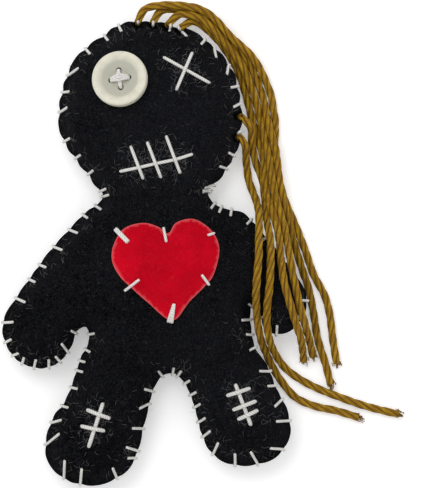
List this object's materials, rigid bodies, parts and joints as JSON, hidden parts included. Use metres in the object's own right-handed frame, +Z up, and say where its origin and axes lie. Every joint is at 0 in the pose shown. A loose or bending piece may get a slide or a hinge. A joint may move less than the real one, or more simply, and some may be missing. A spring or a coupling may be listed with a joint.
{
  "type": "voodoo doll",
  "caption": "Stuffed felt voodoo doll with a button eye, sewn marks, a heart patch and long yarn hair, posable on a jointed inner frame.",
  "frame": {"origin": "on the surface that the doll lies on, under the middle of its body without the hair", "axes": "+Z up, away from the surface, +Y towards the top of the head, +X towards the arm that the hair lies over"},
  "size_m": [0.1805, 0.2189, 0.0357],
  "materials": {
    "black_felt": "matte felt with a little fuzz",
    "cotton_thread": "matte twisted cotton",
    "fibrefill": "matte loose fibre",
    "frame_plastic": "moulded, satin",
    "button_ivory": "satin",
    "red_felt": "matte felt",
    "yarn_mustard": "matte twisted wool"
  },
  "bodies": {
    "torso": {"felt_front": "black_felt", "felt_back": "black_felt", "whip_stitch": "cotton_thread", "stuffing_torso": "fibrefill", "frame_torso": "frame_plastic", "heart_patch": "red_felt", "heart_stitch_1": "cotton_thread", "heart_stitch_2": "cotton_thread", "heart_stitch_3": "cotton_thread", "heart_stitch_4": "cotton_thread", "heart_stitch_5": "cotton_thread", "heart_stitch_6": "cotton_thread"},
    "head": {"stuffing_head": "fibrefill", "frame_head": "frame_plastic", "eye_button": "button_ivory", "button_thread": "cotton_thread", "eye_stitch_long": "cotton_thread", "eye_stitch_short": "cotton_thread", "mouth_line": "cotton_thread", "mouth_bar_left": "cotton_thread", "mouth_bar_middle": "cotton_thread", "mouth_bar_right": "cotton_thread", "yarn_1": "yarn_mustard", "yarn_2": "yarn_mustard", "yarn_3": "yarn_mustard", "yarn_4": "yarn_mustard", "yarn_5": "yarn_mustard", "yarn_6": "yarn_mustard"},
    "left_arm": {"stuffing_left_arm": "fibrefill", "frame_left_arm": "frame_plastic"},
    "right_arm": {"stuffing_right_arm": "fibrefill", "frame_right_arm": "frame_plastic"},
    "left_leg": {"stuffing_left_leg": "fibrefill", "frame_left_leg": "frame_plastic", "left_leg_stitch_long": "cotton_thread", "left_leg_stitch_upper": "cotton_thread", "left_leg_stitch_lower": "cotton_thread"},
    "right_leg": {"stuffing_right_leg": "fibrefill", "frame_right_leg": "frame_plastic", "right_leg_stitch_long": "cotton_thread", "right_leg_stitch_upper": "cotton_thread", "right_leg_stitch_middle": "cotton_thread", "right_leg_stitch_lower": "cotton_thread"}
  },
  "joints": [
    {"name": "neck", "type": "hinge", "parent": "torso", "child": "head", "pos_m": [0.00063, 0.02936, 0.0105], "axis": [0, 0, 1], "range_deg": [-15, 15], "deforming": ["felt_front", "felt_back", "whip_stitch", "yarn_1", "yarn_2", "yarn_3", "yarn_4", "yarn_5", "yarn_6"]},
    {"name": "left_shoulder", "type": "hinge", "parent": "torso", "child": "left_arm", "pos_m": [-0.03402, -0.00259, 0.0105], "axis": [0.1182, 0.993, 0], "range_deg": [-15, 45], "deforming": ["felt_front", "felt_back", "whip_stitch"]},
    {"name": "right_shoulder", "type": "hinge", "parent": "torso", "child": "right_arm", "pos_m": [0.04315, -0.00439, 0.0105], "axis": [0.3443, -0.9389, 0], "range_deg": [-15, 45], "deforming": ["felt_front", "felt_back", "whip_stitch", "yarn_1", "yarn_2", "yarn_3", "yarn_4", "yarn_5", "yarn_6"]},
    {"name": "left_hip", "type": "hinge", "parent": "torso", "child": "left_leg", "pos_m": [-0.0158, -0.05794, 0.0105], "axis": [-0.9788, 0.2049, 0], "range_deg": [-15, 45], "deforming": ["felt_front", "felt_back", "whip_stitch"]},
    {"name": "right_hip", "type": "hinge", "parent": "torso", "child": "right_leg", "pos_m": [0.03033, -0.05659, 0.0105], "axis": [-0.9522, -0.3056, 0], "range_deg": [-15, 45], "deforming": ["felt_front", "felt_back", "whip_stitch"]}
  ]
}
